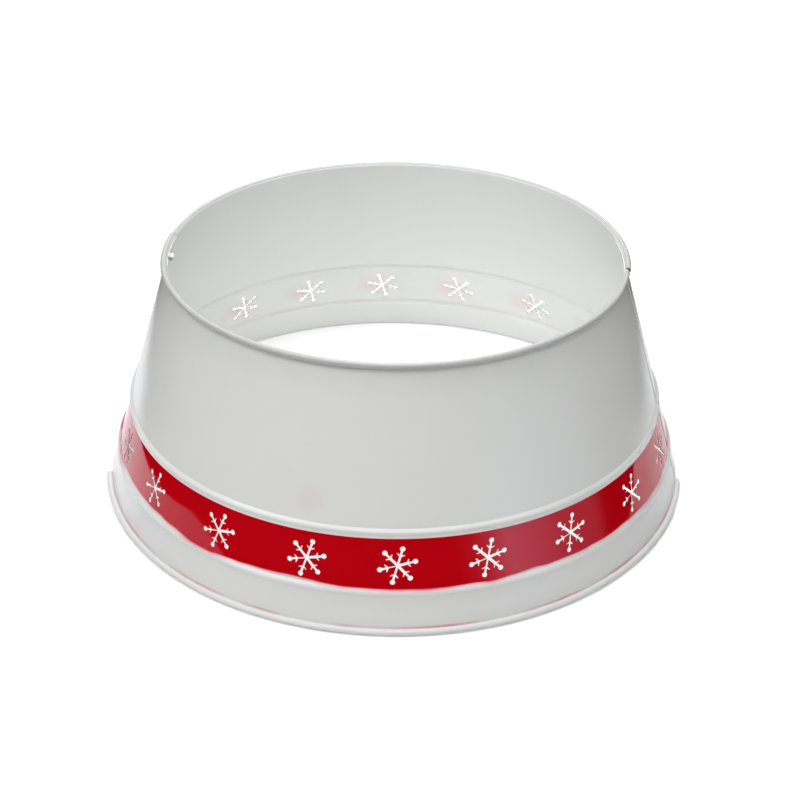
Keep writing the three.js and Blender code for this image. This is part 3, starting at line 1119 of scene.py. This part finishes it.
select_nothing()
bpy.ops.mesh.primitive_plane_add(size=floor_size, location=(0, 0, 0))
floor = name_piece("studio_floor")
floor.data.transform(Matrix.Translation((0, 0, -floor_drop)))
floor.data.materials.append(make_floor_material())
print("the floor is", floor_size, "m wide")

# %% [markdown]
# Glossy paint shows what stands round it. In the picture the middle of the red band mirrors something
# dark, its right part something bright, and its ends the white floor close to the ring. Whole walls
# could be built for that. One flat card round the ring does the same, and like a photographer's flag
# it is seen in reflections only. Its brightness changes with the direction.

# %% Lay the reflection card
card_height = 0.0003
card_spread = 7
card_edge = ((145, 0.52), (160, 0.48), (175, 0.41), (187, 0.424), (192, 0.432), (199, 0.478), (205, 0.535),
             (212, 0.535), (216, 0.52), (221, 0.49), (226, 0.47), (236, 0.45), (258, 0.44), (276, 0.43),
             (293, 0.43), (306, 0.42), (319, 0.42), (326, 0.40), (333, 0.39), (337, 0.378), (340, 0.375),
             (342, 0.386), (349, 0.414), (355, 0.46), (0, 0.48), (15, 0.475), (31, 0.50), (54, 0.52),
             (90, 0.52), (126, 0.52))
card_levels = ((-69, 0.0), (-62, 0.08), (-54, 0.42), (-47, 0.98), (-38, 0.78), (-30, 0.60), (-22, 0.38),
               (-14, 0.30), (-6, 0.25), (-3, 0.20), (1, 0.03), (4, 0.0))
card_centre = (0.07, -0.195, 0)
card_colour = (0.95, 1.15, 1.45, 1)
card_strength = 1.15


def lay_card(name):
    """A flat ring whose inner edge is drawn corner by corner, and which is spread outwards from it."""
    corners = [turned(Vector((distance, 0, card_height)), azimuth) for azimuth, distance in card_edge]
    card = start_line(name, corners[0])
    draw_on(corners[0], corners[1:])
    ends = (corners[0], corners[-1])
    pick_vertices(card, lambda place: min((place - end).length for end in ends) < card_height)
    bpy.ops.mesh.edge_face_add()
    bpy.ops.mesh.select_all(action="SELECT")
    bpy.ops.mesh.extrude_edges_move()
    bpy.ops.transform.resize(value=(card_spread, card_spread, 1), center_override=(0, 0, 0))
    bpy.ops.object.mode_set(mode="OBJECT")
    for sees in ("visible_camera", "visible_diffuse", "visible_transmission", "visible_shadow"):
        setattr(card, sees, False)
    return card


def make_card_material():
    """A glow whose level changes with the direction from the card's own centre."""
    material, tree, shader, place = new_material("reflection_card")
    tree.nodes.remove(shader)
    shifted = add_node(tree, "ShaderNodeVectorMath", {0: place, 1: card_centre}, operation="SUBTRACT")
    around = add_node(tree, "ShaderNodeTexGradient", {"Vector": shifted.outputs[0]}, gradient_type="RADIAL")
    levels = add_node(tree, "ShaderNodeValToRGB", {"Fac": around.outputs["Fac"]})
    steps = levels.color_ramp.elements
    while len(steps) < len(card_levels):
        steps.new(1.0)
    for step, (azimuth, level) in zip(steps, card_levels):
        step.position = azimuth / 360 + 0.5
        step.color = (level, level, level, 1)
    strength = math_node(tree, "MULTIPLY", levels.outputs["Color"], card_strength)
    glow = add_node(tree, "ShaderNodeEmission", {"Color": card_colour, "Strength": strength})
    tree.links.new(glow.outputs[0], tree.nodes["Material Output"].inputs["Surface"])
    return material


card = lay_card("reflection_card")
card.data.materials.append(make_card_material())
print("the card has", len(card.data.polygons), "faces")

# %% [markdown]
# The lamps are square soft boxes aimed at the middle of the ring. A ring of light could serve too, but
# five lamps can be balanced against each other until inside, outside and both flanks agree with the
# picture. A dim sky fills the shadows, and the camera sees it white.

# %% Set the lamps and the sky
sky_strength = 0.05
lamps = {
    "overhead_lamp": {"azimuth": 0, "elevation": 90, "distance": 1.2, "size": 0.5, "watts": 7.6},
    "back_lamp": {"azimuth": 90, "elevation": 50, "distance": 2.6, "size": 1.4, "watts": 33},
    "front_lamp": {"azimuth": 270, "elevation": 52, "distance": 2.6, "size": 1.8, "watts": 23.5},
    "left_lamp": {"azimuth": 208, "elevation": 48, "distance": 2.6, "size": 1.4, "watts": 19},
    "right_lamp": {"azimuth": 328, "elevation": 50, "distance": 2.6, "size": 1.4, "watts": 6.0},
}


def add_soft_lamp(name, lamp):
    """A square soft lamp that faces the middle of the ring."""
    aim = Vector((0, 0, collar_height / 2))
    rise = math.radians(lamp["elevation"])
    beside = turned(Vector((math.cos(rise), 0, math.sin(rise))), lamp["azimuth"])
    bpy.ops.object.light_add(type="AREA", location=aim + beside * lamp["distance"])
    item = bpy.context.object
    item.name = name
    item.data.size = lamp["size"]
    item.data.energy = lamp["watts"]
    item.rotation_euler = (-beside).to_track_quat("-Z", "Y").to_euler()


select_nothing()
for name, lamp in lamps.items():
    add_soft_lamp(name, lamp)

world = bpy.data.worlds.new("studio_sky")
world.use_nodes = True
bpy.context.scene.world = world
sky = world.node_tree
background = sky.nodes["Background"]
seen_by_camera = add_node(sky, "ShaderNodeLightPath").outputs["Is Camera Ray"]
background.inputs["Color"].default_value = (1, 1, 1, 1)
sky.links.new(ramp_node(sky, seen_by_camera, 0.0, 1.0, sky_strength, 1.0), background.inputs["Strength"])
print("lamps:", ", ".join(lamps))
